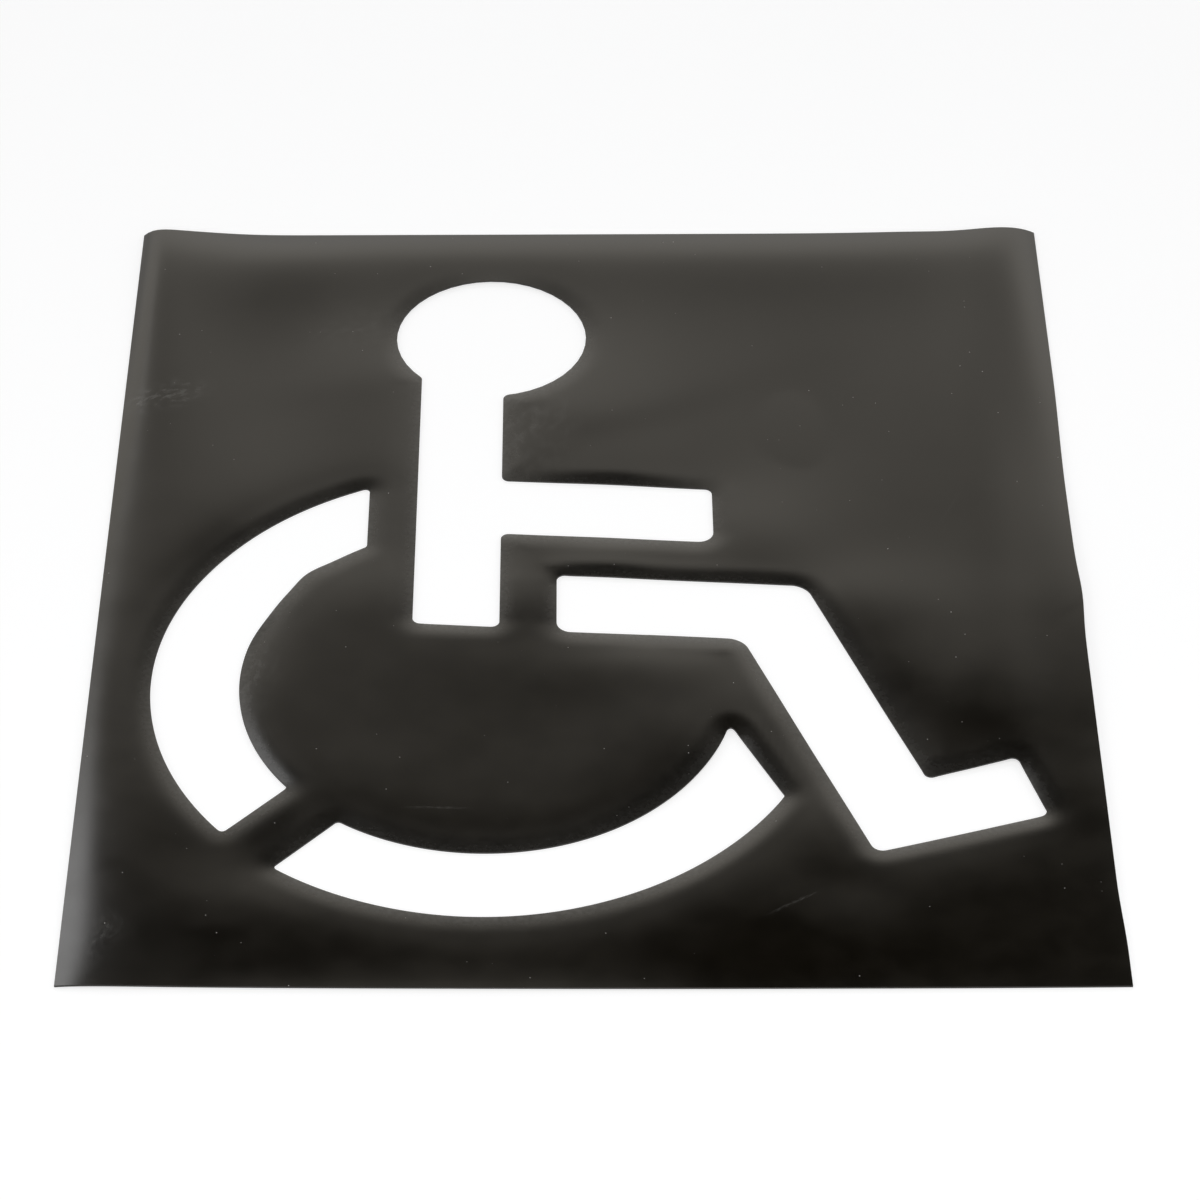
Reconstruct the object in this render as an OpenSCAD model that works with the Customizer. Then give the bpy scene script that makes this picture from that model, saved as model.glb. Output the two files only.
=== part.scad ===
// Road marking stencil: one limp rubber sheet with the wheelchair-access symbol cut right through it.
// The sheet lies on the road with its underside on z = 0, the head of the symbol towards +Y.

/* [Sheet] */
// Thickness of the rubber sheet
sheet_t = 2; // [1:0.5:6]
// Bare margin between the symbol and each side edge
margin_side = 60; // [40:1:150]
// Bare margin between the symbol and the front and back edges
margin_end = 95; // [50:1:200]
// Height of the curled side's crest above the road, under the sheet
crest_rise = 6; // [2:0.5:12]
// Distance of the crest from the side edge
crest_inset = 30; // [20:1:60]
// Distance over which the sheet climbs from flat to crest
crest_run = 100; // [50:1:200]

/* [Wheel] */
// Outer radius of the wheel
wheel_r = 336; // [280:1:420]
// Width of the wheel's rim
rim_w = 88; // [50:1:120]
// Direction of the tie that carries the wheel's middle, in degrees from +X
tie_turn = 227; // [215:1:240]
// Width of that tie
tie_w = 69; // [30:1:120]
// Lean of the rim's front end, in degrees from upright
rim_end_lean = 26; // [15:1:35]

/* [Head and body] */
// Diameter of the head
head_d = 206; // [150:1:260]
// Height of the head's centre above the axle
head_up = 571; // [500:1:700]
// How far the head's centre sits in front of the torso's
head_fore = 30; // [0:1:40]
// Width of the torso
torso_w = 88; // [50:1:120]
// How far the torso's centre sits behind the axle
torso_back = 34; // [0:1:80]
// Height of the torso's foot above the axle, at its back corner
torso_foot_up = 90; // [40:1:140]
// Width of the arm
arm_w = 89; // [50:1:120]
// Height of the arm's upper edge above the axle, at the torso
arm_up = 323; // [290:1:400]
// Length of the arm from the torso
arm_l = 220; // [120:1:300]

/* [Leg] */
// Width of the thigh
thigh_w = 89; // [50:1:120]
// Reach of the knee in front of the axle
knee_fore = 322; // [260:1:380]
// Width of the shin
shin_w = 90; // [50:1:120]
// Lean of the shin, in degrees from upright
shin_lean = 20; // [10:1:30]
// Drop of the heel below the axle
heel_down = 252; // [200:1:300]
// Width of the foot
foot_w = 88; // [50:1:120]
// Climb of the sole, in degrees
sole_climb = 18; // [0:1:25]
// Reach of the toe in front of the axle
toe_fore = 544; // [500:1:650]

/* [Cut] */
// Drop of the arm, the thigh and the torso's foot towards the front, in degrees
limb_drop = 4; // [0:0.5:8]
// Round of the cut corners
cut_r = 8; // [2:0.5:15]
// Round of the knee
knee_r = 22; // [5:1:40]
// Round of the rim's corners
rim_cut_r = 5; // [1:0.5:12]
// Strip between the torso and the rim's back end
back_strip = 50; // [20:1:90]
// Strip between the torso and the thigh
hip_strip = 58; // [20:1:90]
// Strip between the arm and the thigh
lap_strip = 63; // [20:1:90]
// Strip between the shin and the rim's front end, at the axle's height
calf_strip = 73; // [50:1:110]

/* [Hidden] */
$fn = 180;
corner_steps = 8;
curl_steps = 10;
overrun = sheet_t;

// The symbol, measured from the axle of the wheel, and its margins give the sheet's outline
sheet_w = margin_side + wheel_r + toe_fore + margin_side;
sheet_l = margin_end + wheel_r + head_up + head_d / 2 + margin_end;
axle = [margin_side + wheel_r - sheet_w / 2, margin_end + wheel_r - sheet_l / 2];

// Curl of each side: an S of two equal arcs up to the crest, then one arc down to the road
climb_turn = 2 * atan(crest_rise / crest_run);
climb_r = crest_run / (2 * sin(climb_turn));
fall_turn = 2 * atan(crest_rise / crest_inset);
fall_r = crest_inset / sin(fall_turn);
crest_x = sheet_w / 2 - crest_inset - sheet_t * sin(fall_turn);
flat_x = crest_x - crest_run;

// Wheel and torso
rim_r = wheel_r - rim_w;
torso_x0 = -torso_back - torso_w / 2;
torso_x1 = torso_x0 + torso_w;

// Arm, thigh and torso's foot all drop alike
slope = -tan(limb_drop);
drop_way = [1, slope];
arm_rise = arm_w / cos(limb_drop);
thigh_rise = thigh_w / cos(limb_drop);
arm_x1 = torso_x1 + arm_l;
thigh_x0 = torso_x1 + hip_strip;
thigh_up = arm_up - arm_rise - lap_strip;

// Leg: the corners where the lines of the thigh, the shin and the foot meet
shin_way = way(shin_lean - 90);
sole_way = way(sole_climb);
hip = [thigh_x0, limb_y(thigh_up, thigh_x0)];
seat = hip - [0, thigh_rise];
knee = [knee_fore, limb_y(thigh_up, knee_fore)];
calf = knee - shin_w * way(shin_lean);
heel = calf + shin_way * (calf.y + heel_down) / cos(shin_lean);
toe = heel + sole_way * (toe_fore - heel.x) / cos(sole_climb);
instep = toe + foot_w * way(sole_climb + 90);
ankle = meet(knee, shin_way, instep, sole_way);
knee_back = meet(seat, drop_way, calf, shin_way);

// Front end of the rim, at the axle's height, kept clear of the shin
rim_end_x = calf.x + calf.y * tan(shin_lean) - calf_strip;

// Unit step in a direction, direction of a vector, and a vector cut to unit length
function way(turn) = [cos(turn), sin(turn)];
function turn_of(v) = atan2(v.y, v.x);
function unit(v) = v / norm(v);

// Point where the line through p along u meets the line through q along v
function meet(p, u, q, v) = p + u * cross(q - p, v) / cross(u, v);

// Height of a dropping edge at x, from its height at the torso
function limb_y(up, x) = up + slope * (x - torso_x1);

// Point at radius r from the axle on a cut that runs outwards along turn, offset to one side of the axle
function cut_point(turn, side, offset, r) =
    side * offset * way(turn - 90) + sqrt(r * r - offset * offset) * way(turn);

function reversed(points) = [for (i = [len(points) - 1:-1:0]) points[i]];
function mirrored(points) = [for (p = points) [-p.x, p.y]];

// What a round takes off, or fills in, at a sharp corner between the points where it touches the two edges
module corner_round(corner, centre, touch_a, touch_b) {
    start = turn_of(touch_a - centre);
    sweep = (turn_of(touch_b - centre) - start + 540) % 360 - 180;
    step = sweep / corner_steps;
    reach = norm(touch_a - centre) / cos(step / 2);
    polygon(concat(
        [2 * corner - centre],
        [for (k = [0:corner_steps]) centre + reach * way(start + k * step)]
    ));
}

// Rounds of all the corners of a straight-sided outline that bend one way: 1 outwards, -1 inwards
module outline_rounds(points, radii, hand) {
    count = len(points);
    for (i = [0:count - 1]) {
        corner = points[i];
        way_a = unit(points[(i + count - 1) % count] - corner);
        way_b = unit(points[(i + 1) % count] - corner);
        if (radii[i] > 0 && sign(cross(way_b, way_a)) == hand) {
            half_turn = acos(way_a * way_b) / 2;
            reach = radii[i] / tan(half_turn);
            centre = corner + unit(way_a + way_b) * radii[i] / sin(half_turn);
            corner_round(corner, centre, corner + way_a * reach, corner + way_b * reach);
        }
    }
}

// Straight-sided outline, anticlockwise, with each corner rounded by its own radius
module rounded_outline(points, radii) {
    difference() {
        union() {
            polygon(points);
            outline_rounds(points, radii, -1);
        }
        outline_rounds(points, radii, 1);
    }
}

// Fillet where one side of the torso runs into the round of the head
module neck_round(head, side_x, side) {
    head_r = head_d / 2;
    across = side_x - head.x;
    beyond = across + side * cut_r;
    centre = head + [beyond, -sqrt(pow(head_r + cut_r, 2) - beyond * beyond)];
    corner = head + [across, -sqrt(head_r * head_r - across * across)];
    corner_round(corner, centre, [side_x, centre.y], head + unit(centre - head) * head_r);
}

// Head, torso and arm in one opening
module body_opening() {
    head = [head_fore - torso_back, head_up];
    rounded_outline([
        [torso_x0, torso_foot_up],
        [torso_x1, torso_foot_up + slope * torso_w],
        [torso_x1, arm_up - arm_rise],
        [arm_x1, limb_y(arm_up - arm_rise, arm_x1)],
        [arm_x1, limb_y(arm_up, arm_x1)],
        [torso_x1, arm_up],
        [torso_x1, head.y],
        [torso_x0, head.y]
    ], [cut_r, cut_r, cut_r, cut_r, cut_r, cut_r, 0, 0]);
    translate(head) circle(d = head_d);
    neck_round(head, torso_x0, -1);
    neck_round(head, torso_x1, 1);
}

// Thigh, shin and foot in one opening
module leg_opening() {
    rounded_outline(
        [seat, knee_back, heel, toe, instep, ankle, knee, hip],
        [cut_r, knee_r, cut_r, cut_r, cut_r, cut_r, knee_r, cut_r]
    );
}

// Side of a straight cut through the rim where the opening lies
module cut_side(turn, side, offset) {
    reach = 2 * wheel_r;
    rotate(turn - side * 90) translate([offset, -reach]) square(2 * reach);
}

// Rounds at the outer and the inner corner of one end of the rim
module rim_end_rounds(turn, side, offset) {
    for (edge = [[wheel_r, -rim_cut_r], [rim_r, rim_cut_r]]) {
        centre = cut_point(turn, side, offset + rim_cut_r, edge[0] + edge[1]);
        touch_cut = centre - side * rim_cut_r * way(turn - 90);
        corner_round(cut_point(turn, side, offset, edge[0]), centre, touch_cut, unit(centre) * edge[0]);
    }
}

// Stretch of the wheel's rim between two ends, each a straight cut: its way outwards, side and offset
module rim_opening(ends) {
    difference() {
        intersection() {
            difference() {
                circle(wheel_r);
                circle(rim_r);
            }
            cut_side(ends[0][0], ends[0][1], ends[0][2]);
            cut_side(ends[1][0], ends[1][1], ends[1][2]);
        }
        for (end = ends) rim_end_rounds(end[0], end[1], end[2]);
    }
}

module back_rim_opening() {
    rim_opening([[90, -1, back_strip - torso_x0], [tie_turn, 1, tie_w / 2]]);
}

module front_rim_opening() {
    rim_opening([
        [tie_turn, -1, tie_w / 2],
        [rim_end_lean - 90, 1, -rim_end_x * cos(rim_end_lean)]
    ]);
}

// Points of one curled side of the cross-section, at a height above the sheet's underside
function curl_points(up) = concat(
    [for (k = [0:curl_steps]) [flat_x, climb_r + sheet_t / 2]
        + (climb_r + sheet_t / 2 - up) * way(climb_turn * k / curl_steps - 90)],
    [for (k = [1:curl_steps]) [crest_x, crest_rise + sheet_t / 2 - climb_r]
        + (climb_r - sheet_t / 2 + up) * way(90 + climb_turn * (1 - k / curl_steps))],
    [for (k = [1:curl_steps]) [crest_x, crest_rise - fall_r]
        + (fall_r + up) * way(90 - fall_turn * k / curl_steps)]
);

// Cross-section of the sheet: flat in the middle, both sides curled up and back down to the road
module sheet_section() {
    under = curl_points(0);
    top = curl_points(sheet_t);
    polygon(concat(under, reversed(top), mirrored(top), reversed(mirrored(under))));
}

module stencil_sheet() {
    color([0.16, 0.155, 0.145])
    difference() {
        rotate([90, 0, 0]) linear_extrude(sheet_l, center = true) sheet_section();
        translate([axle.x, axle.y, -overrun])
        linear_extrude(crest_rise + sheet_t + 2 * overrun) {
            body_opening();
            leg_opening();
            back_rim_opening();
            front_rim_opening();
        }
    }
}

stencil_sheet();
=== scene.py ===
# %% [markdown]
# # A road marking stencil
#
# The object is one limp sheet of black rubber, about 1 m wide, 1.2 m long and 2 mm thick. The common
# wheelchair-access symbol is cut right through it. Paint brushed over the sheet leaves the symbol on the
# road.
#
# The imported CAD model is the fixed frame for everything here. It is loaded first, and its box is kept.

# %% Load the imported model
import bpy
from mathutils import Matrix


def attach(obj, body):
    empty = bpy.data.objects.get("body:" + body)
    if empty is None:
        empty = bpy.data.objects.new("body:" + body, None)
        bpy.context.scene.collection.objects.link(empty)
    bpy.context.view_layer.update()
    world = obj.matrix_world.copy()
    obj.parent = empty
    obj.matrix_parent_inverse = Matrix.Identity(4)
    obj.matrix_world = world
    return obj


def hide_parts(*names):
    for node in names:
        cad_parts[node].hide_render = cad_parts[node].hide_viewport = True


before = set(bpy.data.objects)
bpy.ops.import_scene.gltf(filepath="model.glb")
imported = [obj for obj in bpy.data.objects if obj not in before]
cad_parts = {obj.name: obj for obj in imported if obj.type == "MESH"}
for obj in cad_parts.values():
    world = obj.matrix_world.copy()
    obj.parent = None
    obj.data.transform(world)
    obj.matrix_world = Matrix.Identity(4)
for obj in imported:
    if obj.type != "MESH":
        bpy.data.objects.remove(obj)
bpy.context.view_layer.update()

# %% [markdown]
# ## The camera
#
# The camera comes first, because every later choice is judged through it. Its place was found from the
# four edges of the sheet and the round of the wheel: a long lens, about 4.8 m away, looking down at 40
# degrees. The focal length is given in pixels of the square picture, and the sensor width turns it into
# millimetres.

# %% Camera
import math
import bpy

PICTURE_PX = 1200
FOCAL_PX = 4637
SENSOR_MM = 36
CAMERA_PLACE = (-0.0175, -3.6575, 3.0414)
CAMERA_TURN = (49.931, -0.143, -0.294)

camera_lens = bpy.data.cameras.new("photo_lens")
camera_lens.sensor_width = SENSOR_MM
camera_lens.lens = FOCAL_PX / PICTURE_PX * SENSOR_MM
camera = bpy.data.objects.new("photo_camera", camera_lens)
camera.location = CAMERA_PLACE
camera.rotation_euler = [math.radians(turn) for turn in CAMERA_TURN]
bpy.context.scene.collection.objects.link(camera)
bpy.context.scene.camera = camera
print("lens", round(camera_lens.lens, 1), "mm")

# %% [markdown]
# ## The outlines that the knife follows
#
# A stencil cutter draws straight lines and compass arcs, then rounds each corner where the knife turns.
# The same is done here with wire edges: a straight run adds one vertex, an arc is a vertex that `spin`
# sweeps round a centre, and `bevel` on a vertex turns a sharp corner into a round. A drawn curve or a
# Boolean cut could make the openings too, but wires keep every corner where the cutter measured it.
#
# All sizes are in millimetres from the axle of the wheel, as on the CAD model.

# %% Straight runs, arcs and corners
import bmesh
from mathutils import Matrix, Vector

MM = 0.001
SHEET_W = 1000 * MM
SHEET_L = 1200 * MM
AXLE = Vector((-103.5 * MM, -171.1 * MM, 0))
ARC_STEP = 15 * MM
CORNER_STEPS = 8


def from_axle(x, y):
    return AXLE + Vector((x * MM, y * MM, 0))


def straight_to(wire, start, point):
    end = wire.verts.new(point)
    wire.edges.new((start, end))
    return end


def arc_to(wire, start, centre, point, hand):
    """Sweeps start round centre until it reaches point: hand 1 is anticlockwise, -1 clockwise."""
    arm = start.co - centre
    goal = point - centre
    turn = math.atan2(goal.y, goal.x) - math.atan2(arm.y, arm.x)
    turn = hand * ((hand * turn) % math.tau)
    steps = max(2, round(abs(turn) * arm.length / ARC_STEP))
    spun = bmesh.ops.spin(wire, geom=[start], cent=centre, axis=(0, 0, 1), dvec=(0, 0, 0), angle=turn,
                          steps=steps, use_merge=False, use_normal_flip=False, use_duplicate=False)
    return spun["geom_last"][0]


def round_corner(wire, corner, radius):
    """Rounds one corner: the bevel starts where a circle of that radius touches both edges."""
    way_a, way_b = [edge.other_vert(corner).co - corner.co for edge in corner.link_edges]
    touch = radius * MM / math.tan(way_a.angle(way_b) / 2)
    bmesh.ops.bevel(wire, geom=[corner], offset=touch, offset_type="OFFSET", segments=CORNER_STEPS,
                    profile=0.5, affect="VERTICES", material=-1)


print("sheet:", round(SHEET_W / MM), "by", round(SHEET_L / MM), "mm")
print("axle at", [round(c / MM, 1) for c in AXLE.xy], "mm")

# %% [markdown]
# ## Head, body and arm
#
# This opening starts at the back of the torso's foot and runs anticlockwise. The arm and the foot of the
# torso drop a little towards the front. At the neck the wire leaves the torso, goes once round the head,
# and comes back down. The lower corner of the hand is rounder than the other corners.

# %% Body opening
LIMB_DROP = math.tan(math.radians(4))
HEAD_R = 103
HEAD_MID = from_axle(-4, 571)
TORSO_BACK_X = -78
TORSO_FRONT_X = 10
HAND_X = 230
FOOT_BACK_UP = 90
FOOT_FRONT_UP = 83.8
ARM_LOW = 233.8
ARM_TOP = 323
CUT_R = 8
HAND_R = 15


def dropped(height, x):
    return from_axle(x, height - LIMB_DROP * (x - TORSO_FRONT_X))


def neck_point(x):
    across = from_axle(x, 0).x - HEAD_MID.x
    return Vector((HEAD_MID.x + across, HEAD_MID.y - math.sqrt((HEAD_R * MM) ** 2 - across ** 2), 0))


body = bmesh.new()
foot_back = body.verts.new(from_axle(TORSO_BACK_X, FOOT_BACK_UP))
foot_front = straight_to(body, foot_back, dropped(FOOT_FRONT_UP, TORSO_FRONT_X))
armpit = straight_to(body, foot_front, dropped(ARM_LOW, TORSO_FRONT_X))
hand_low = straight_to(body, armpit, dropped(ARM_LOW, HAND_X))
hand_top = straight_to(body, hand_low, dropped(ARM_TOP, HAND_X))
shoulder = straight_to(body, hand_top, dropped(ARM_TOP, TORSO_FRONT_X))
neck_front = straight_to(body, shoulder, neck_point(TORSO_FRONT_X))
neck_back = arc_to(body, neck_front, HEAD_MID, neck_point(TORSO_BACK_X), 1)
body.edges.new((neck_back, foot_back))
for corner in (foot_back, foot_front, armpit, hand_top, shoulder, neck_front, neck_back):
    round_corner(body, corner, CUT_R)
round_corner(body, hand_low, HAND_R)
print("body opening:", len(body.edges), "edges")

# %% [markdown]
# ## Thigh, shin and foot
#
# The leg has straight sides only, so its eight corners are enough. The knee is turned with a wider round
# than the other corners, inside and outside, and the corners at the seat and at the heel are rounder
# too.

# %% Leg opening
KNEE_R = 22
SEAT_R = 15
HEEL_R = 11
leg = bmesh.new()
seat = leg.verts.new(from_axle(68, 77.5))
knee_back = straight_to(leg, seat, from_axle(255.6, 64.4))
heel = straight_to(leg, knee_back, from_axle(374, -249.8))
toe = straight_to(leg, heel, from_axle(546, -197.7))
instep = straight_to(leg, toe, from_axle(520.5, -115.4))
ankle = straight_to(leg, instep, from_axle(429.2, -143.5))
knee = straight_to(leg, ankle, from_axle(322, 149))
hip = straight_to(leg, knee, from_axle(68, 166.7))
leg.edges.new((hip, seat))
for corner in (toe, instep, ankle, hip):
    round_corner(leg, corner, CUT_R)
round_corner(leg, seat, SEAT_R)
round_corner(leg, heel, HEEL_R)
for corner in (knee_back, knee):
    round_corner(leg, corner, KNEE_R)
print("leg opening:", len(leg.edges), "edges")

# %% [markdown]
# ## The wheel's rim
#
# The rim is one ring in the symbol, but a whole ring would let its middle drop out. The cutter leaves a
# tie across it, so that the ring becomes two openings. Each has an outer arc, an inner arc and two
# straight ends. An end is a line at some distance beside the axle, and its corners lie where that line
# crosses the two circles.

# %% Rim openings
WHEEL_R = 336
RIM_R = 248
RIM_CUT_R = 5
TIE_TURN = 227
TIE_HALF = 34.5
RIM_BACK_X = -128
RIM_FRONT_X = 207.4
RIM_FRONT_LEAN = 26


def end_point(turn, offset, radius):
    """Where a line along turn, at offset to the right of the axle, leaves the circle of that radius."""
    way = math.radians(turn)
    along = math.sqrt(radius ** 2 - offset ** 2)
    return from_axle(offset * math.sin(way) + along * math.cos(way),
                     -offset * math.cos(way) + along * math.sin(way))


def rim_opening(first_end, last_end):
    wire = bmesh.new()
    outer_first = wire.verts.new(end_point(*first_end, WHEEL_R))
    outer_last = arc_to(wire, outer_first, AXLE, end_point(*last_end, WHEEL_R), 1)
    inner_last = straight_to(wire, outer_last, end_point(*last_end, RIM_R))
    inner_first = arc_to(wire, inner_last, AXLE, end_point(*first_end, RIM_R), -1)
    wire.edges.new((inner_first, outer_first))
    for corner in (outer_first, outer_last, inner_last, inner_first):
        round_corner(wire, corner, RIM_CUT_R)
    return wire


front_offset = -RIM_FRONT_X * math.cos(math.radians(RIM_FRONT_LEAN))
back_rim = rim_opening((90, RIM_BACK_X), (TIE_TURN, TIE_HALF))
front_rim = rim_opening((TIE_TURN, -TIE_HALF), (RIM_FRONT_LEAN - 90, front_offset))
print("rim openings:", len(back_rim.edges), "and", len(front_rim.edges), "edges")

# %% [markdown]
# ## Even steps along every outline
#
# The sheet will bend softly, so its edges need points all the way along. `subdivide_edges` puts them in.
# The points on an arc are then pulled out from the chord to the true circle.

# %% Sheet edge and even steps
EDGE_STEP = 5 * MM
CHORD_SLACK = 0.15 * MM

edge_wire = bmesh.new()
bmesh.ops.create_grid(edge_wire, x_segments=1, y_segments=1, size=0.5,
                      matrix=Matrix.Diagonal((SHEET_W, SHEET_L, 1, 1)))
bmesh.ops.delete(edge_wire, geom=edge_wire.faces[:], context="FACES_ONLY")
openings = {"body": body, "leg": leg, "back_rim": back_rim, "front_rim": front_rim}
for wire in [edge_wire, *openings.values()]:
    for edge in wire.edges[:]:
        cuts = int(edge.calc_length() / EDGE_STEP)
        if cuts:
            bmesh.ops.subdivide_edges(wire, edges=[edge], cuts=cuts)
for wire in openings.values():
    for vert in wire.verts:
        for centre, radius in ((HEAD_MID, HEAD_R * MM), (AXLE, WHEEL_R * MM), (AXLE, RIM_R * MM)):
            arm = vert.co - centre
            if abs(arm.length - radius) < CHORD_SLACK:
                vert.co = centre + arm.normalized() * radius
print("points along the edges:", len(edge_wire.verts) + sum(len(wire.verts) for wire in openings.values()))

# %% [markdown]
# ## Measuring from an edge
#
# How the rubber lies depends on how far a spot is from a cut. To measure that, each outline is extruded
# into a low wall, and a BVH tree of the wall gives the nearest point. The openings are also filled, so
# that a ray from above can tell whether a spot is cut away.

# %% Walls and lids for measuring
from mathutils.bvhtree import BVHTree

WALL_H = 10 * MM


def wall_tree(wire):
    wall = wire.copy()
    skirt = bmesh.ops.extrude_edge_only(wall, edges=wall.edges[:])
    raised = [part for part in skirt["geom"] if isinstance(part, bmesh.types.BMVert)]
    bmesh.ops.translate(wall, vec=(0, 0, WALL_H), verts=raised)
    tree = BVHTree.FromBMesh(wall)
    wall.free()
    return tree


def lid_tree(wire):
    lid = wire.copy()
    bmesh.ops.triangle_fill(lid, use_beauty=True, edges=lid.edges[:], normal=(0, 0, 1))
    tree = BVHTree.FromBMesh(lid)
    lid.free()
    return tree


def distance(tree, spot):
    return tree.find_nearest(spot)[3]


walls = {name: wall_tree(wire) for name, wire in openings.items()}
edge_wall = wall_tree(edge_wire)
lids = [lid_tree(wire) for wire in openings.values()]
print("from the axle to the rim:", round(distance(walls["front_rim"], AXLE) / MM, 2), "mm")

# %% [markdown]
# ## One flat sheet with its openings
#
# `triangle_fill` alone would span the sheet with a few long triangles, which can't bend. So most of the
# sheet is an even grid. Grid points that fall in an opening, or close to a cut, are taken away, and
# `triangle_fill` only closes the narrow belt between the grid and the cuts.

# %% Grid and belt
GRID_STEP = 6 * MM
BELT = 4.5 * MM

sheet = bmesh.new()
bmesh.ops.create_grid(sheet, x_segments=round(SHEET_W / GRID_STEP), y_segments=round(SHEET_L / GRID_STEP),
                      size=0.5, matrix=Matrix.Diagonal((SHEET_W, SHEET_L, 1, 1)))


def is_cut_away(spot):
    above = spot + Vector((0, 0, WALL_H))
    return any(lid.ray_cast(above, Vector((0, 0, -1)))[0] is not None for lid in lids)


def is_near_cut(spot):
    return min(distance(tree, spot) for tree in [edge_wall, *walls.values()]) < BELT


gone = [vert for vert in sheet.verts if is_near_cut(vert.co) or is_cut_away(vert.co)]
bmesh.ops.delete(sheet, geom=gone, context="VERTS")
loose = [vert for vert in sheet.verts if not vert.link_faces]
while loose:
    bmesh.ops.delete(sheet, geom=loose, context="VERTS")
    loose = [vert for vert in sheet.verts
             if not vert.link_faces or sum(edge.is_boundary for edge in vert.link_edges) > 2]
loose_edges = [edge for edge in sheet.edges if edge.is_wire]
bmesh.ops.delete(sheet, geom=loose_edges, context="EDGES")

cut_mesh = bpy.data.meshes.new("cut_lines")
for wire in [edge_wire, *openings.values()]:
    wire.to_mesh(cut_mesh)
    sheet.from_mesh(cut_mesh)
belt_edges = [edge for edge in sheet.edges if edge.is_boundary or edge.is_wire]
bmesh.ops.triangle_fill(sheet, use_beauty=True, edges=belt_edges, normal=(0, 0, 1))
for face in sheet.faces:
    if face.normal.z < 0:
        face.normal_flip()
open_area = sum(face.calc_area() for face in sheet.faces)
print("flat sheet:", len(sheet.faces), "faces,", round(open_area, 4), "square metres of rubber")
print("odd edges:", sum(1 for edge in sheet.edges if len(edge.link_faces) not in (1, 2)))

# %% [markdown]
# ## How the rubber lies
#
# A sheet that comes off a roll never lies flat. Here each side stands in a low curl that drops back to
# the floor at its edge, higher at the back than at the front, and the back edge rolls down in the same
# way, but for its corners. Along every cut a soft swell stands a little way in. A cloth simulation could
# lay such a sheet too, but it would never put the curls where they are on this one. So one curve serves
# all of them: it starts at nothing on the edge, rises to its height at some reach, and dies away slowly
# behind. The numbers are millimetres.

# %% Curls and swells along the edges
# height of the crest, and its distance from the edge, at three places along each side
LEFT_CURL = {"front": (1.6, 43), "hub": (1.8, 46), "back": (8.0, 22)}
RIGHT_CURL = {"front": (0.0, 20), "hub": (0.4, 77), "back": (8.5, 43)}
HUB_Y = -100 * MM
BACK_ROLL = (3.4, 50)
ROLL_CORNER = 70 * MM
# height in front of each opening and behind it, and the distance of the crest from it
CUT_SWELL = {"body": (0.8, 0.0), "back_rim": (1.0, 0.9), "leg": (1.8, 0.0), "front_rim": (2.0, 0.8)}
CUT_REACH = (65, 45)


def swell(height, reach, away):
    share = away / (reach * MM)
    return height * MM * share * math.exp(1 - share)


def between(first, last, share):
    return first + (last - first) * share


def eased(share):
    share = min(1, max(0, share))
    return share * share * (3 - 2 * share)


def curl(side, y, away):
    if y < HUB_Y:
        ends, share = ("front", "hub"), (y + SHEET_L / 2) / (HUB_Y + SHEET_L / 2)
    else:
        ends, share = ("hub", "back"), (y - HUB_Y) / (SHEET_L / 2 - HUB_Y)
    first, last = side[ends[0]], side[ends[1]]
    height = between(first[0], last[0], eased(share))
    return swell(height, between(first[1], last[1], eased(share)), away)


def cut_swell(name, spot):
    """Swell along one opening, between the one in front of it and the one behind it."""
    nearest, _, _, away = walls[name].find_nearest(spot)
    if away == 0:
        return 0
    behind = (1 + (spot.y - nearest.y) / away) / 2
    return swell(between(*CUT_SWELL[name], behind), between(*CUT_REACH, behind), away)


print("left curl at the back:", LEFT_CURL["back"][0], "mm high,", LEFT_CURL["back"][1], "mm from the edge")

# %% [markdown]
# ## Broad swells
#
# Between the cuts some broad, low swells are left, wider than a hand and only a few millimetres high. On
# satin rubber they show well, because each slope mirrors another height of the studio. Each one here is
# a soft hill with a place, a height, and a spread to the side and to the back. A hill with a height
# below nothing is a dip.

# %% Broad swells
# place to the side and to the back, height, spread to the side and to the back
BROAD_SWELLS = {
    "back_left_corner": (-348, 631, 5.0, 68, 130),
    "left_of_the_head": (-255, 326, 1.4, 50, 80),
    "right_of_the_head": (413, 145, 2.5, 32, 249),
    "beside_the_torso": (20, 161, 2.6, 47, 163),
    "beyond_the_hand": (243, 219, -1.0, 52, 113),
    "under_the_hand": (160, 51, 1.6, 53, 50),
    "over_the_thigh": (67, -52, 1.9, 191, 41),
    "under_the_thigh": (50, -138, 1.6, 54, 38),
    "at_the_hip": (12, 4, 0.9, 32, 29),
    "right_edge": (512, -27, 5.0, 114, 139),
    "by_the_right_edge": (450, -147, -1.5, 28, 109),
    "beside_the_shin": (417, -201, 5.0, 81, 105),
    "above_the_foot": (265, -237, -3.0, 52, 52),
    "before_the_heel": (245, -471, -1.3, 41, 32),
    "before_the_foot": (340, -459, 0.6, 120, 94),
    "beside_the_foot": (497, -343, 1.1, 81, 36),
    "wheel_middle": (14, -152, -2.9, 87, 116),
    "wheel_front": (93, -248, 4.8, 59, 98),
    "before_the_wheel": (168, -532, 2.3, 62, 97),
    "front_edge": (-126, -658, -4.0, 259, 68),
    "beside_the_tie": (-336, -430, -1.7, 60, 45),
    "left_of_the_tie": (-403, -420, 0.8, 68, 149),
    "beside_the_wheel": (-370, -55, -2.8, 32, 66),
}
EDGE_HOLD = 60 * MM


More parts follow.
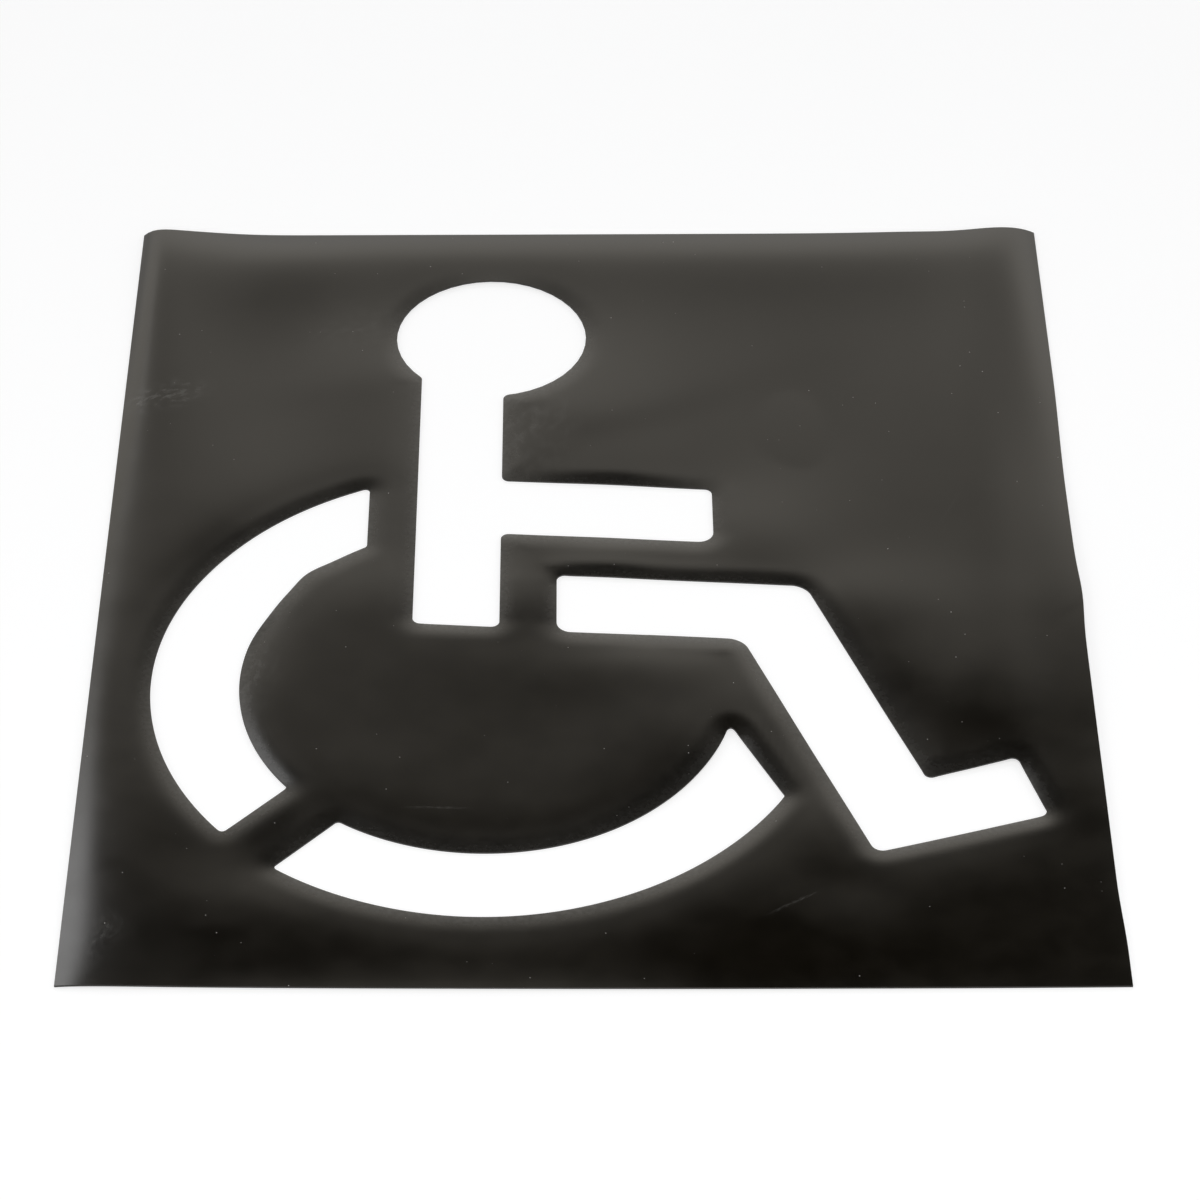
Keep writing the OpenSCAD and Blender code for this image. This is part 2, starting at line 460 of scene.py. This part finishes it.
def broad_swells(spot):
    up = 0
    for x, y, height, spread_x, spread_y in BROAD_SWELLS.values():
        across = (spot.x / MM - x) / spread_x
        along = (spot.y / MM - y) / spread_y
        up += height * MM * math.exp(-0.5 * (across * across + along * along))
    return up * (1 - math.exp(-(SHEET_L / 2 - abs(spot.y)) / EDGE_HOLD))


print("broad swells:", len(BROAD_SWELLS))

# %% [markdown]
# ## Laying the sheet
#
# First the swells along the cuts are laid alone, because two of them meet in a crease where their cuts
# turn a corner. `smooth_vert` relaxes that, as gravity does, and the share of it fades out near the
# cuts, where the mesh is uneven. How far a vertex lies from the nearest cut, and from the edge of the
# sheet, is kept in two attributes, because later cells need it again.

# %% Lay the swells along the cuts
SHEET_T = 2 * MM
RELAX_PASSES = 40
RELAX_SHARE = 0.5
RELAX_FROM = 9 * MM
RELAX_FULL = 34 * MM

from_cut = sheet.verts.layers.float.new("from_cut")
from_edge = sheet.verts.layers.float.new("from_edge")
for vert in sheet.verts:
    vert[from_cut] = min(distance(tree, vert.co) for tree in walls.values())
    vert[from_edge] = distance(edge_wall, vert.co)
for vert in sheet.verts:
    vert.co.z = sum(cut_swell(name, vert.co) for name in walls)
inner = [vert for vert in sheet.verts if min(vert[from_cut], vert[from_edge]) > RELAX_FROM]
laid = [vert.co.z for vert in inner]
for _ in range(RELAX_PASSES):
    bmesh.ops.smooth_vert(sheet, verts=inner, factor=RELAX_SHARE, use_axis_x=False, use_axis_y=False,
                          use_axis_z=True)
for vert, height in zip(inner, laid):
    share = (min(vert[from_cut], vert[from_edge]) - RELAX_FROM) / (RELAX_FULL - RELAX_FROM)
    vert.co.z = between(height, vert.co.z, eased(share))
print("swells along the cuts: up to", round(max(vert.co.z for vert in sheet.verts) / MM, 1), "mm")

# %% [markdown]
# ## How open the rubber is
#
# Next to a cut the rubber is limp, and pale colour is painted there, the more where more is cut away
# round it. That is measured on a ring round each spot: how much of the ring lies in an opening, and on
# which side. A small ring tells how limp the edge is and where a narrow painted highlight goes, a large
# one where a thin veil of dust and painted glow reaches. The painted highlight stays in front of an
# opening and hardly at all behind it, because the near side of each opening shines brighter.

# %% How open the rubber is
SMALL_RING = 11 * MM
LARGE_RING = 25 * MM
RING_SPOTS = 8
GLOW_SIDE_POWER = 1.4

open_round = sheet.verts.layers.float.new("open_round")
open_wide = sheet.verts.layers.float.new("open_wide")
# share of painted highlight by the side of an opening: full in front of it, none behind it
painted_glow_side = sheet.verts.layers.float.new("painted_glow_side")


def open_side(spot, radius):
    """How open the ring is (0 inside the sheet, 1 on a straight cut), and an arrow to its open side."""
    total = 0
    arrow = Vector((0, 0, 0))
    for step in range(RING_SPOTS):
        way = Matrix.Rotation(step / RING_SPOTS * math.tau, 3, "Z") @ Vector((1, 0, 0))
        place = spot + radius * way
        away = min(distance(tree, place) for tree in walls.values())
        if is_cut_away(place):
            away = -away
        cut_share = eased(0.5 - away / (2 * radius))
        total += cut_share
        arrow += cut_share * way
    return 2 * total / RING_SPOTS, arrow.normalized()


for vert in sheet.verts:
    flat_spot = Vector((vert.co.x, vert.co.y, 0))
    if vert[from_cut] < 2 * LARGE_RING:
        vert[open_wide], _ = open_side(flat_spot, LARGE_RING)
    if vert[from_cut] < 2 * SMALL_RING:
        vert[open_round], arrow = open_side(flat_spot, SMALL_RING)
        # painted highlight share, from the side on which the opening lies
        vert[painted_glow_side] = ((1 + arrow.y) / 2) ** GLOW_SIDE_POWER
print("most open spot:", round(max(vert[open_round] for vert in sheet.verts), 2))

# %% [markdown]
# ## Laying the whole sheet
#
# Now the curls and the broad swells are added to the swells along the cuts. Where the rubber is open and
# limp, the sum is let down towards the floor, up to a limit. Only the margin behind the head is plain
# and stiff enough to hold itself up. The result is the height of the top of the sheet, so it can't be
# lower than its thickness.

# %% Lay the whole sheet
DROOP = 0.55
DROOP_MOST = 2.2 * MM
HEAD_BACK = HEAD_MID + Vector((0, HEAD_R * MM, 0))

for vert in sheet.verts:
    up = vert.co.z + broad_swells(vert.co)
    up += curl(LEFT_CURL, vert.co.y, SHEET_W / 2 + vert.co.x)
    up += curl(RIGHT_CURL, vert.co.y, SHEET_W / 2 - vert.co.x)
    from_side = SHEET_W / 2 - abs(vert.co.x)
    up += swell(*BACK_ROLL, SHEET_L / 2 - vert.co.y) * (1 - math.exp(-from_side / ROLL_CORNER))
    from_head_back = (Vector((vert.co.x, vert.co.y, 0)) - HEAD_BACK).length
    droop = min(DROOP * up, DROOP_MOST) * eased(from_head_back / (2 * HEAD_R * MM))
    vert.co.z = SHEET_T + max(0, up - droop * vert[open_round])
print("highest point:", round(max(vert.co.z for vert in sheet.verts) / MM, 1), "mm")

# %% [markdown]
# ## A slip of the knife
#
# On this sheet the knife slipped once while it cut the inner arc of the rim, first out and then in,
# which leaves a soft kink on the edge of the wheel's middle. The outline could have been drawn with the
# kink, but a true circle is easier to measure from. So the vertices near the rim are moved now, away
# from the axle or towards it, and the shift fades out inside the rubber.

# %% Kink of the wheel's middle
# place in degrees round the axle, size in millimetres, spread in degrees
SLIPS = {"out": (138, 4.6, 5.5), "in": (156, -1.8, 7.5)}
SLIP_FADE = 60 * MM


def bumps(rows, along):
    """Sum of soft bumps, each one with its place, size and spread."""
    return sum(size * math.exp(-((along - place) / spread) ** 2) for place, size, spread in rows.values())


for vert in sheet.verts:
    arm = Vector((vert.co.x, vert.co.y, 0)) - AXLE
    if arm.length < RIM_R * MM + CHORD_SLACK:
        slip = bumps(SLIPS, math.degrees(math.atan2(arm.y, arm.x))) * MM
        near_rim = eased(1 - (RIM_R * MM - arm.length) / SLIP_FADE)
        vert.co += arm.normalized() * slip * near_rim
print("the knife slipped by", SLIPS["out"][1], "mm at", SLIPS["out"][0], "degrees")

# %% [markdown]
# ## Edges that aren't quite straight
#
# The outer edges of limp rubber aren't dead straight and square either. The bare margin behind the head
# is pulled in by a few millimetres, more at the left than at the right, with a wave near each corner.
# The front edge bows out a little. The right edge runs slightly inside its line, but for one place
# beside the knee. Each shift fades out inside its margin.

# %% Shift the margins
BACK_FROM = from_axle(0, 690).y
BACK_PULL = (8 * MM, 3.5 * MM)
FRONT_FROM = -480 * MM
FRONT_BOW = 3.6 * MM
FRONT_TILT = 1.2 * MM
RIGHT_FROM = 300 * MM
RIGHT_PULL = 2.6 * MM
RIGHT_ENDS = (-560 * MM, 330 * MM)
RIGHT_FADES = (100 * MM, 200 * MM)
# place along the edge, size and spread in millimetres
BACK_WAVES = {"left": (-430, -2.9, 50), "right": (410, 3.3, 45)}
RIGHT_WAVES = {"beside_the_knee": (-42, 2.6, 45)}

for vert in sheet.verts:
    x, y, _ = vert.co
    side = 2 * x / SHEET_W
    back = eased((y - BACK_FROM) / (SHEET_L / 2 - BACK_FROM))
    vert.co.y -= back * (between(*BACK_PULL, (side + 1) / 2) + bumps(BACK_WAVES, x / MM) * MM)
    front = eased((FRONT_FROM - y) / (FRONT_FROM + SHEET_L / 2))
    vert.co.y -= front * (FRONT_BOW * (1 - side * side) + FRONT_TILT * side)
    right = eased((x - RIGHT_FROM) / (SHEET_W / 2 - RIGHT_FROM))
    inside = eased((y - RIGHT_ENDS[0]) / RIGHT_FADES[0]) * eased((RIGHT_ENDS[1] - y) / RIGHT_FADES[1])
    vert.co.x -= right * (RIGHT_PULL * inside - bumps(RIGHT_WAVES, y / MM) * MM)
print("front edge at", round(min(vert.co.y for vert in sheet.verts), 4), "m, back edge at",
      round(max(vert.co.y for vert in sheet.verts), 4), "m")

# %% [markdown]
# ## Thickness
#
# The surface made so far is the top of the rubber. A Solidify modifier gives it the 2 mm of the real
# sheet, downwards, and a Bevel modifier takes the sharpness off the cut edges. As modifiers they stay
# live, so that the thickness can still be changed. The rim of the Solidify takes the second material,
# for the cut faces.

# %% Stencil sheet
CUT_ROUND = 0.35 * MM
CUT_ANGLE = math.radians(50)
CUT_ROUND_STEPS = 2

sheet_mesh = bpy.data.meshes.new("rubber_stencil_sheet")
sheet.to_mesh(sheet_mesh)
sheet_mesh.polygons.foreach_set("use_smooth", [True] * len(sheet_mesh.polygons))
rubber_sheet = bpy.data.objects.new("rubber_stencil_sheet", sheet_mesh)
bpy.context.scene.collection.objects.link(rubber_sheet)

thickness = rubber_sheet.modifiers.new("thickness", "SOLIDIFY")
thickness.thickness = SHEET_T
thickness.offset = -1
thickness.use_even_offset = True
thickness.material_offset_rim = 1
cut_round = rubber_sheet.modifiers.new("cut_round", "BEVEL")
cut_round.width = CUT_ROUND
cut_round.segments = CUT_ROUND_STEPS
cut_round.limit_method = "ANGLE"
cut_round.angle_limit = CUT_ANGLE
cut_round.harden_normals = True

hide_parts("stencil_sheet")
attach(rubber_sheet, "root")
print("piece:", rubber_sheet.name, "with", len(sheet_mesh.polygons), "faces on top")

# %% [markdown]
# ## Patterns for a finish
#
# A finish is a small tree of nodes. Five helpers keep the tree readable: one adds a node and fills or
# links its sockets, one stretches a value from one range to another, one does a sum, one mixes two
# colours, and one makes noise on the piece's own coordinates. Object coordinates are metres here, so a
# noise scale of 1000 means grains of about a millimetre. Most of a noise lies between 0.3 and 0.7, so
# that is the range that is stretched.

# %% Helpers for nodes
MOST_OF_NOISE = (0.3, 0.7)


def node(tree, kind, inputs, **settings):
    made = tree.nodes.new("ShaderNode" + kind)
    for name, value in settings.items():
        setattr(made, name, value)
    for name, value in inputs.items():
        if isinstance(value, bpy.types.NodeSocket):
            tree.links.new(value, made.inputs[name])
        else:
            made.inputs[name].default_value = value
    return made


def ranged(tree, value, low, high, to_low, to_high):
    return node(tree, "MapRange", {"Value": value, "From Min": low, "From Max": high, "To Min": to_low,
                                   "To Max": to_high}, interpolation_type="SMOOTHSTEP").outputs["Result"]


def calc(tree, operation, first, second):
    return node(tree, "Math", {0: first, 1: second}, operation=operation).outputs["Value"]


def noise(tree, where, scale, detail):
    return node(tree, "TexNoise", {"Vector": where, "Scale": scale, "Detail": detail}).outputs["Fac"]


def blend(tree, share, first, second):
    return node(tree, "Mix", {0: share, 6: first, 7: second}, data_type="RGBA").outputs[2]


rubber = bpy.data.materials.new("satin_black_rubber")
rubber.use_nodes = True
skin_tree = rubber.node_tree
skin = skin_tree.nodes["Principled BSDF"]
here = node(skin_tree, "TexCoord", {}).outputs["Object"]
sheet_mesh.materials.append(rubber)
print("material:", rubber.name)

# %% [markdown]
# ## Dust and painted light at the cuts
#
# Hands, brushes and the road rub the edges of a stencil, and some pale dust stays there. Pale colour is
# painted next to the cuts from the attributes that were kept for each vertex. The small ring gives a
# narrow band in front of the cuts, a painted highlight for the brighter near side of each opening. The
# large ring gives a wide, thin veil all round them, partly pale dust and partly a painted glow round the
# white openings. An exponential of the distance gives a veil of dust along the edge of the sheet. A fine
# noise makes them uneven.

# %% Dust and painted light at the cuts
# strength of the painted highlight in front of the cuts
CUT_GLOW = 0.125
CUT_SHARPNESS = 1.5
# share of pale dust and painted glow all round the cuts
WIDE_DUST_AND_GLOW = 0.035
EDGE_DUST = 0.004
EDGE_REACH = 10 * MM
BLOTCH_SCALE = 240
BLOTCH_DETAIL = 5
BLOTCH_RANGE = (0.25, 0.75)
UNEVEN = (0.7, 1.3)

blotch = noise(skin_tree, here, BLOTCH_SCALE, BLOTCH_DETAIL)
uneven = ranged(skin_tree, blotch, *BLOTCH_RANGE, *UNEVEN)


def kept_value(name):
    return node(skin_tree, "Attribute", {}, attribute_name=name).outputs["Fac"]


# narrow band of painted highlight in front of each cut, for its brighter near side
front_glow = calc(skin_tree, "POWER", kept_value("open_round"), CUT_SHARPNESS)
front_glow = calc(skin_tree, "MULTIPLY", calc(skin_tree, "MULTIPLY", front_glow, kept_value("painted_glow_side")), CUT_GLOW)
# wide veil round the cuts: pale dust and a painted glow round the white openings
wide = calc(skin_tree, "MULTIPLY", kept_value("open_wide"), WIDE_DUST_AND_GLOW)
edge_fade = calc(skin_tree, "MULTIPLY", kept_value("from_edge"), -1 / EDGE_REACH)
along_edge = calc(skin_tree, "MULTIPLY", calc(skin_tree, "EXPONENT", edge_fade, 0), EDGE_DUST)
veils = calc(skin_tree, "ADD", calc(skin_tree, "ADD", front_glow, wide), along_edge)
# sum of real dust and the painted highlight and glow at the cuts
dust_and_glow = calc(skin_tree, "MULTIPLY", veils, uneven)
# share of painted highlight, dust and painted glow in front of a cut
print("dust share in front of a cut:", CUT_GLOW + WIDE_DUST_AND_GLOW)

# %% [markdown]
# ## Specks
#
# Single grains of sand and paint lie all over the sheet, about a millimetre across and some centimetres
# apart. A Voronoi texture gives every cell a centre and a random colour: the distance to the centre
# draws a dot, and the colour says which few cells have one and how bright it is.

# %% Specks
SPECK_CELLS = 85
SPECK_R = 0.55 * MM * SPECK_CELLS
SPECK_SOFTNESS = (0.4, 1.4)
SPECK_SHARE = 0.035
SPECK_DIMNESS = 3

cells = node(skin_tree, "TexVoronoi", {"Vector": here, "Scale": SPECK_CELLS}, voronoi_dimensions="2D")
lot = node(skin_tree, "SeparateColor", {"Color": cells.outputs["Color"]})
dot_core, dot_end = [share * SPECK_R for share in SPECK_SOFTNESS]
dot = ranged(skin_tree, cells.outputs["Distance"], dot_core, dot_end, 1, 0)
chosen = calc(skin_tree, "GREATER_THAN", lot.outputs["Red"], 1 - SPECK_SHARE)
bright = calc(skin_tree, "POWER", lot.outputs["Green"], SPECK_DIMNESS)
speck = calc(skin_tree, "MULTIPLY", calc(skin_tree, "MULTIPLY", dot, chosen), bright)
dust_and_glow = calc(skin_tree, "ADD", dust_and_glow, speck)
print("specks on the sheet: about", round(SPECK_CELLS ** 2 * SPECK_SHARE * open_area))

# %% [markdown]
# ## Scuffs and scratches
#
# A few marks have a place: rubbed patches by the left edge, on the wheel, beside the torso and left of
# the head, and some long scratches. A Mapping node moves, turns and stretches the coordinates so that
# the mark fits a circle of radius one. A spherical gradient fades it out to its ends, and noise on the
# same stretched coordinates breaks it into streaks.

# %% Scuffs and scratches
# place, turn in degrees, half length and half width in millimetres, share of dust
MARKS = {
    "rub_by_the_left_edge": ((-455, 292), 27, (65, 30), 0.12),
    "rub_on_the_wheel": ((-338, -165), 80, (75, 34), 0.05),
    "rub_at_the_front_left": ((-462, -535), 70, (50, 24), 0.05),
    "rub_beside_the_torso": ((-66, 240), 80, (105, 62), 0.055),
    "rub_left_of_the_head": ((-255, 415), 30, (70, 40), 0.035),
    "scratch_before_the_heel": ((189, -493), 33, (36, 2.4), 0.16),
    "scratch_on_the_wheel": ((-150, -357), -1, (40, 2.4), 0.14),
    "scratch_behind_the_hand": ((372, 96), 64, (44, 1.6), 0.06),
}
STREAKS = 5
STREAK_DETAIL = 4
STREAK_RANGE = (0.42, 0.7)

for (x, y), turn, (half_length, half_width), share in MARKS.values():
    fitted = node(skin_tree, "Mapping", {"Vector": here, "Location": (x * MM, y * MM, 0),
                                         "Rotation": (0, 0, math.radians(turn)),
                                         "Scale": (half_length * MM, half_width * MM, 1)},
                  vector_type="TEXTURE").outputs["Vector"]
    round_fade = node(skin_tree, "TexGradient", {"Vector": fitted}, gradient_type="SPHERICAL").outputs["Fac"]
    streaks = ranged(skin_tree, noise(skin_tree, fitted, STREAKS, STREAK_DETAIL), *STREAK_RANGE, 0, share)
    dust_and_glow = calc(skin_tree, "ADD", dust_and_glow, calc(skin_tree, "MULTIPLY", round_fade, streaks))
print("marks:", ", ".join(MARKS))

# %% [markdown]
# ## Black rubber
#
# Road stencil rubber is black from soot. Its skin is satin, because a polished roll pressed it, with a
# faint cloud where the roll pressed less, and a fine grain. Wax that protects the rubber comes to the
# skin with time and browns it, so the black is a very dark brown, and the gloss has a warm tint. Pale
# colour lies over it, for dust and for the painted highlight and glow at the cuts, and there the rubber
# shines less. The grain goes into a Bump node, so shallow that it only shows where the light grazes.
# The gloss has one strength and one tint all over, so both are set straight on the shader.

# %% Rubber skin
SOOT_DARK = (0.0029, 0.0022, 0.0011, 1)
SOOT_BROWN = (0.0044, 0.0034, 0.0019, 1)
# pale colour of dust, also used for the painted highlight and glow at the cuts
DUST_AND_GLOW_COLOUR = (0.44, 0.43, 0.41, 1)
WAX_TINT = (1, 0.91, 0.75, 1)
RUBBER_IOR = 1.5
SATIN = (0.128, 0.152)
DUST_MATT = 0.5
CLOUD_SCALE = 24
CLOUD_DETAIL = 5
GRAIN_SCALE = 650
GRAIN_DETAIL = 3
GRAIN_DEPTH = 0.01 * MM

cloud = noise(skin_tree, here, CLOUD_SCALE, CLOUD_DETAIL)
soot = blend(skin_tree, ranged(skin_tree, cloud, *MOST_OF_NOISE, 0, 1), SOOT_DARK, SOOT_BROWN)
# pale colour over the black: dust, and the painted highlight and glow at the cuts
skin_tree.links.new(blend(skin_tree, dust_and_glow, soot, DUST_AND_GLOW_COLOUR), skin.inputs["Base Color"])
satin = ranged(skin_tree, cloud, *MOST_OF_NOISE, *SATIN)
matt = calc(skin_tree, "MULTIPLY", dust_and_glow, DUST_MATT)
skin_tree.links.new(calc(skin_tree, "ADD", satin, matt), skin.inputs["Roughness"])
grain_noise = noise(skin_tree, here, GRAIN_SCALE, GRAIN_DETAIL)
grain = node(skin_tree, "Bump", {"Height": grain_noise, "Distance": GRAIN_DEPTH})
skin_tree.links.new(grain.outputs["Normal"], skin.inputs["Normal"])
skin.inputs["IOR"].default_value = RUBBER_IOR
skin.inputs["Specular Tint"].default_value = WAX_TINT
print("rubber nodes:", len(skin_tree.nodes))

# %% [markdown]
# ## Cut faces
#
# The knife leaves the 2 mm edge of the rubber matt and a little greyer, with fine upright lines where
# the blade dragged. Noise that is stretched a lot along the height draws such lines.

# %% Cut faces
BLADE_LINES = (900, 900, 60)
BLADE_DETAIL = 3
DRAG_DEPTH = 0.04 * MM
DRAG_STRENGTH = 0.6
CUT_MATT = (0.55, 0.75)
CUT_DARK = (0.011, 0.0105, 0.0095, 1)
CUT_GREY = (0.034, 0.032, 0.029, 1)

cut_face = bpy.data.materials.new("cut_rubber_face")
cut_face.use_nodes = True
cut_tree = cut_face.node_tree
cut_skin = cut_tree.nodes["Principled BSDF"]
along_cut = node(cut_tree, "Mapping", {"Vector": node(cut_tree, "TexCoord", {}).outputs["Object"],
                                       "Scale": BLADE_LINES}).outputs["Vector"]
blade = noise(cut_tree, along_cut, 1, BLADE_DETAIL)
cut_tree.links.new(blend(cut_tree, blade, CUT_DARK, CUT_GREY), cut_skin.inputs["Base Color"])
cut_tree.links.new(ranged(cut_tree, blade, *MOST_OF_NOISE, *CUT_MATT), cut_skin.inputs["Roughness"])
drag = node(cut_tree, "Bump", {"Height": blade, "Distance": DRAG_DEPTH, "Strength": DRAG_STRENGTH})
cut_tree.links.new(drag.outputs["Normal"], cut_skin.inputs["Normal"])
sheet_mesh.materials.append(cut_face)
print("cut face nodes:", len(cut_tree.nodes))

# %% [markdown]
# ## The floor
#
# The sheet lies on a plain white floor that runs out of sight. Light Path tells rays that see the floor
# from rays that only bring light: the camera, reflections and see-through rays get a floor that is
# nearly white by itself and still takes the shadow of the sheet. All other rays get plain pale paper, so
# no extra light falls on the rubber.

# %% Floor
FLOOR_HALF = 20
FLOOR_DROP = 0.2 * MM
PAPER = (0.8, 0.8, 0.8, 1)
SHADED_PAPER = (0.4, 0.4, 0.4, 1)
WHITE = (1, 1, 1, 1)
FLOOR_GLOW = 0.68

ground = bmesh.new()
bmesh.ops.create_grid(ground, x_segments=1, y_segments=1, size=FLOOR_HALF)
bmesh.ops.translate(ground, vec=(0, 0, -FLOOR_DROP), verts=ground.verts[:])
floor_mesh = bpy.data.meshes.new("floor")
ground.to_mesh(floor_mesh)
floor = bpy.data.objects.new("floor", floor_mesh)
bpy.context.scene.collection.objects.link(floor)

paper = bpy.data.materials.new("white_floor")
paper.use_nodes = True
paper_tree = paper.node_tree
paper_tree.nodes.clear()
path = node(paper_tree, "LightPath", {})
seen = calc(paper_tree, "MAXIMUM", path.outputs["Is Camera Ray"], path.outputs["Is Glossy Ray"])
seen = calc(paper_tree, "MAXIMUM", seen, path.outputs["Is Transmission Ray"])
plain = node(paper_tree, "BsdfDiffuse", {"Color": PAPER})
shaded = node(paper_tree, "BsdfDiffuse", {"Color": SHADED_PAPER})
glow = node(paper_tree, "Emission", {"Color": WHITE, "Strength": FLOOR_GLOW})
white = node(paper_tree, "AddShader", {0: shaded.outputs["BSDF"], 1: glow.outputs["Emission"]})
either = node(paper_tree, "MixShader", {0: seen, 1: plain.outputs["BSDF"], 2: white.outputs["Shader"]})
node(paper_tree, "OutputMaterial", {"Surface": either.outputs["Shader"]})
floor_mesh.materials.append(paper)
print("floor:", 2 * FLOOR_HALF, "m wide")

# %% [markdown]
# ## The studio
#
# Black satin rubber shows little colour of its own, so its picture is the studio that it mirrors. Here
# that is a bright wall all round, up to about 40 degrees high and dimmer at its foot, under a dark
# ceiling, and a soft round window to the left, with cooler light. The far half of the flat sheet mirrors
# the wall, the near half mirrors the ceiling, and every swell shows as a shift between the two. All of
# it is in the world, as two gradients over the height of a direction and one round spot, whose light is
# added to that of the walls.

# %% Walls and window
WALL_LIGHT = 1.43
CEILING_LIGHT = 0.004
WALL_TOP = (33.1, 45.9)
WALL_SLANT = 0.015
WALL_FOOT = (5, 32)
FOOT_SHARE = 0.5
WINDOW_LIGHT = 4.6
WINDOW_COLOUR = (0.8, 0.86, 1, 1)
WINDOW_TURN = -21
WINDOW_HEIGHT = 45
WINDOW_R = (5.2, 6.8)

world = bpy.data.worlds.new("studio")
bpy.context.scene.world = world
world.use_nodes = True
air = world.node_tree
air.nodes.clear()
way = node(air, "TexCoord", {}).outputs["Generated"]
height = node(air, "VectorMath", {0: way, 1: (WALL_SLANT, 0, 1)}, operation="DOT_PRODUCT").outputs["Value"]
low, high = [math.sin(math.radians(angle)) for angle in WALL_TOP]
wall_light = ranged(air, height, low, high, WALL_LIGHT, CEILING_LIGHT)
low, high = [math.sin(math.radians(angle)) for angle in WALL_FOOT]
wall_light = calc(air, "MULTIPLY", wall_light, ranged(air, height, low, high, FOOT_SHARE, 1))
turn, tilt = math.radians(WINDOW_TURN), math.radians(WINDOW_HEIGHT)
window_way = (math.sin(turn) * math.cos(tilt), math.cos(turn) * math.cos(tilt), math.sin(tilt))
aside = node(air, "VectorMath", {0: way, 1: window_way}, operation="DOT_PRODUCT").outputs["Value"]
full, none = [math.cos(math.radians(angle)) for angle in WINDOW_R]
window_light = ranged(air, aside, none, full, 0, WINDOW_LIGHT)
walls_seen = node(air, "Background", {"Color": WHITE, "Strength": wall_light})
window_seen = node(air, "Background", {"Color": WINDOW_COLOUR, "Strength": window_light})
studio_seen = node(air, "AddShader", {0: walls_seen.outputs["Background"],
                                     1: window_seen.outputs["Background"]})
node(air, "OutputWorld", {"Surface": studio_seen.outputs["Shader"]})
print("the window lies towards", [round(c, 2) for c in window_way])

# %% [markdown]
# ## The lamp overhead
#
# One large soft lamp hangs over the front of the sheet and is turned a little towards the camera. It
# brings the plain light that colours need, from a place that the sheet doesn't mirror to the camera.

# %% Overhead lamp
LAMP_W = 68
LAMP_SIZE = 2.5
LAMP_PLACE = (0, -1.5, 4)

lamp_data = bpy.data.lights.new("overhead_softbox", "AREA")
lamp_data.size = LAMP_SIZE
lamp_data.energy = LAMP_W
lamp = bpy.data.objects.new("overhead_softbox", lamp_data)
lamp.location = LAMP_PLACE
lamp.rotation_euler = (-math.atan2(-LAMP_PLACE[1], LAMP_PLACE[2]), 0, 0)
bpy.context.scene.collection.objects.link(lamp)
bpy.context.scene.view_settings.view_transform = "Standard"
print("lamp:", LAMP_W, "W")
